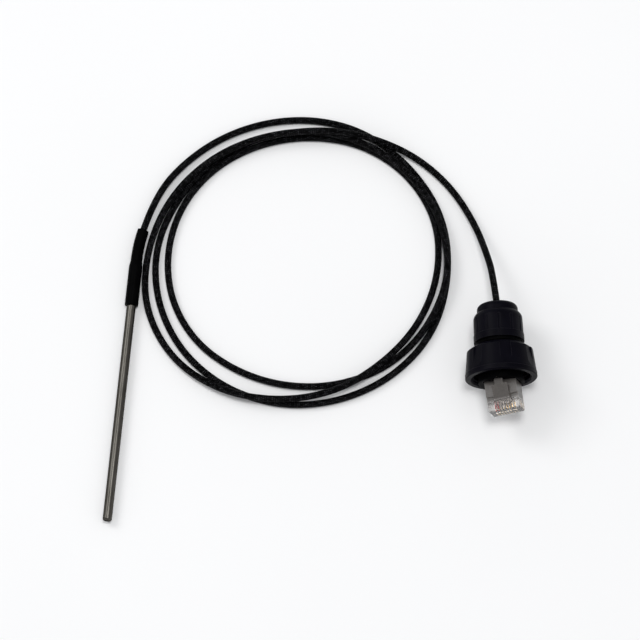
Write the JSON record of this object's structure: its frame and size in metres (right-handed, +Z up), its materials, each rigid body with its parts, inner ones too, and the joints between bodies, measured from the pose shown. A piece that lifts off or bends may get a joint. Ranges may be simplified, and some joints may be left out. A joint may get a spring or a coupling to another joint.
{
  "type": "resistance temperature probe",
  "caption": "Resistance temperature probe: a slim steel sheath with its element sealed inside, a shrink sleeve, a coiled thin cable and a round sealed plug connector with a turning coupling ring.",
  "frame": {"origin": "on the table, under the middle of the probe's rigid end: the steel sheath and its shrink sleeve, from the sheath's tip to the sleeve's mouth", "axes": "+Z up from the table; +Y along the sheath from its closed tip towards the cable; +X towards the side that the coiled cable and the connector lie on"},
  "size_m": [0.1519, 0.1601, 0.0261],
  "materials": {
    "stainless": "drawn, slightly dull stainless steel",
    "ceramic_white": "fired alumina",
    "ceramic_grey": "packed oxide compound",
    "lead_wire": "bright drawn wire",
    "splice_metal": "tinned crimp",
    "red_insulation": "smooth insulation",
    "white_insulation": "smooth insulation",
    "liner_film": "insulating film",
    "seal_resin": "cured resin",
    "cable_jacket": "black jacket with a fine woven surface",
    "shrink_black": "smooth shrink tubing",
    "connector_black": "moulded, faintly textured",
    "claw_black": "moulded",
    "seal_rubber": "matt rubber",
    "clear_plastic": "clear moulded plastic",
    "contact_gold": "gilt contact plate"
  },
  "bodies": {
    "probe": {"sheath_tube": "stainless", "sensing_element": "ceramic_white", "thermal_filler": "ceramic_grey", "lead_insulator": "ceramic_white", "element_leads": "lead_wire", "lead_splices": "splice_metal", "red_core_a": "red_insulation", "red_core_b": "red_insulation", "white_core_a": "white_insulation", "white_core_b": "white_insulation", "core_liner": "liner_film", "end_seal": "seal_resin", "cable_root": "cable_jacket", "shrink_sleeve": "shrink_black", "cable_lead": "cable_jacket", "cable_coil": "cable_jacket", "cable_tail": "cable_jacket", "cable_end": "cable_jacket", "gland_nut": "connector_black", "clamping_claw": "claw_black", "gland_seal": "seal_rubber", "connector_shell": "connector_black", "face_seal": "seal_rubber", "modular_plug": "clear_plastic", "contact_blades": "contact_gold", "red_plug_core_a": "red_insulation", "red_plug_core_b": "red_insulation", "white_plug_core_a": "white_insulation", "white_plug_core_b": "white_insulation"},
    "ring": {"coupling_ring": "connector_black"}
  },
  "joints": [
    {"name": "coupling_ring_spin", "type": "hinge", "parent": "probe", "child": "ring", "pos_m": [0.13608, 0.0083, 0.01312], "axis": [0.139, -0.989, 0.0506], "continuous": true}
  ]
}
